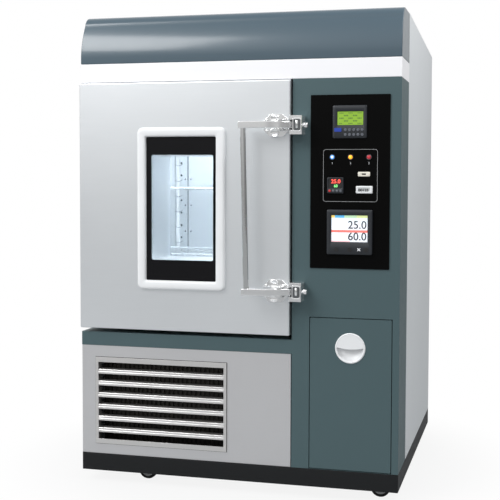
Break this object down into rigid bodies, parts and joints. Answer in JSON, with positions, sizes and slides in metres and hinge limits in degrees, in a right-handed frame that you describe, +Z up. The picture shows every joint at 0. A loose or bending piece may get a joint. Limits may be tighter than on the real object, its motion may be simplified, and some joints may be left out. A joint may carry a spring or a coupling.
{
  "type": "environmental test chamber",
  "caption": "Floor-standing temperature and humidity test cabinet with a windowed insulated door, bar latch handle, control column, louvred machine bay and swivel casters.",
  "frame": {"origin": "on the floor under the middle of the box round the whole machine", "axes": "X to the right seen from the front, Y from the front to the back, Z up"},
  "size_m": [1.107, 1.049, 1.577],
  "materials": {
    "black_paint": "satin black powder coat",
    "foam": "insulating foam",
    "stainless_inner": "bright stainless sheet",
    "grey_paint": "light grey coated steel",
    "teal_paint": "grey teal coated steel, satin",
    "bright_band": "pale satin coat",
    "stainless": "fine brushed stainless",
    "blade_metal": "satin aluminium",
    "coil_metal": "finned coil, dull",
    "panel_gloss": "gloss black sheet",
    "case_plastic": "dark grey instrument plastic",
    "key_plastic": "small keys",
    "green_screen": "lit display",
    "white_screen": "lit display",
    "blue_lens": "lit lens",
    "amber_lens": "lit lens",
    "red_lens": "lit lens",
    "cream_plastic": "moulded plastic",
    "white_plastic": "white moulded plastic",
    "tank_plastic": "milky tank plastic",
    "chrome_parts": "polished plated castings",
    "gasket_rubber": "soft black seal",
    "window_pane": "clear pane",
    "fork_metal": "plated steel fork",
    "wheel_rubber": "solid wheel"
  },
  "bodies": {
    "cabinet": {"base_skirt": "black_paint", "base_plate": "black_paint", "cabinet_insulation": "foam", "chamber_liner": "stainless_inner", "door_seat_frame": "stainless_inner", "cable_port_sleeve": "stainless_inner", "side_panel_left": "grey_paint", "side_panel_right": "grey_paint", "roof_panel": "grey_paint", "rear_panel": "grey_paint", "fascia_column": "teal_paint", "fascia_beam": "teal_paint", "front_band": "bright_band", "canopy": "teal_paint", "lower_front_panel": "stainless", "louvre_grille": "blade_metal", "condenser_coil": "coil_metal", "control_panel": "panel_gloss", "controller_case": "case_plastic", "controller_screen": "green_screen", "controller_keys": "key_plastic", "lamp_blue": "blue_lens", "lamp_amber": "amber_lens", "lamp_red": "red_lens", "data_port": "cream_plastic", "temperature_regulator": "case_plastic", "hour_meter": "cream_plastic", "recorder_case": "case_plastic", "recorder_screen": "white_screen", "recorder_keys": "key_plastic", "water_tank": "tank_plastic", "air_baffle": "stainless_inner", "fan_motor": "stainless_inner", "shelf_uprights": "stainless_inner", "wire_shelves": "stainless_inner", "shelf_brackets": "stainless_inner", "hinge_cabinet_leaves": "chrome_parts", "strike_housings": "chrome_parts", "strike_rollers": "chrome_parts", "strike_screws": "chrome_parts"},
    "main_door": {"door_shell": "stainless", "door_plug": "stainless_inner", "door_gasket": "gasket_rubber", "window_rim": "white_plastic", "window_glass": "window_pane", "window_inner_glass": "window_pane", "hinge_door_leaves": "chrome_parts", "latch_bases": "chrome_parts"},
    "handle": {"door_handle": "chrome_parts"},
    "service_panel": {"service_door": "teal_paint", "pull_cup": "white_plastic"},
    "air_fan": {"circulation_fan": "stainless_inner"},
    "fork_front_left": {"caster_fork_front_left": "fork_metal"},
    "wheel_front_left": {"caster_wheel_front_left": "wheel_rubber"},
    "fork_front_right": {"caster_fork_front_right": "fork_metal"},
    "wheel_front_right": {"caster_wheel_front_right": "wheel_rubber"},
    "fork_rear_left": {"caster_fork_rear_left": "fork_metal"},
    "wheel_rear_left": {"caster_wheel_rear_left": "wheel_rubber"},
    "fork_rear_right": {"caster_fork_rear_right": "fork_metal"},
    "wheel_rear_right": {"caster_wheel_rear_right": "wheel_rubber"}
  },
  "joints": [
    {"name": "door_hinge", "type": "hinge", "parent": "cabinet", "child": "main_door", "pos_m": [-0.5425, -0.29735, 0.93775], "axis": [0, 0, -1], "range_deg": [0, 115]},
    {"name": "handle_pivot", "type": "hinge", "parent": "main_door", "child": "handle", "pos_m": [0.1755, -0.4965, 0.93725], "axis": [0, 0, 1], "range_deg": [0, 25]},
    {"name": "service_hinge", "type": "hinge", "parent": "cabinet", "child": "service_panel", "pos_m": [0.524, -0.4355, 0.344], "axis": [0, 0, 1], "range_deg": [0, 105]},
    {"name": "fan_spin", "type": "hinge", "parent": "cabinet", "child": "air_fan", "pos_m": [-0.1635, 0.2845, 1.088], "axis": [0, 1, 0], "continuous": true},
    {"name": "swivel_front_left", "type": "hinge", "parent": "cabinet", "child": "fork_front_left", "pos_m": [-0.3455, -0.3655, 0.08], "axis": [0, 0, 1], "continuous": true},
    {"name": "roll_front_left", "type": "hinge", "parent": "fork_front_left", "child": "wheel_front_left", "pos_m": [-0.3175, -0.3655, 0.0325], "axis": [0, 1, 0], "continuous": true},
    {"name": "swivel_front_right", "type": "hinge", "parent": "cabinet", "child": "fork_front_right", "pos_m": [0.4595, -0.3655, 0.08], "axis": [0, 0, 1], "continuous": true},
    {"name": "roll_front_right", "type": "hinge", "parent": "fork_front_right", "child": "wheel_front_right", "pos_m": [0.4875, -0.3655, 0.0325], "axis": [0, 1, 0], "continuous": true},
    {"name": "swivel_rear_left", "type": "hinge", "parent": "cabinet", "child": "fork_rear_left", "pos_m": [-0.3455, 0.4495, 0.08], "axis": [0, 0, 1], "continuous": true},
    {"name": "roll_rear_left", "type": "hinge", "parent": "fork_rear_left", "child": "wheel_rear_left", "pos_m": [-0.3455, 0.4775, 0.0325], "axis": [1, 0, 0], "continuous": true},
    {"name": "swivel_rear_right", "type": "hinge", "parent": "cabinet", "child": "fork_rear_right", "pos_m": [0.4595, 0.4495, 0.08], "axis": [0, 0, 1], "continuous": true},
    {"name": "roll_rear_right", "type": "hinge", "parent": "fork_rear_right", "child": "wheel_rear_right", "pos_m": [0.4595, 0.4775, 0.0325], "axis": [1, 0, 0], "continuous": true}
  ]
}
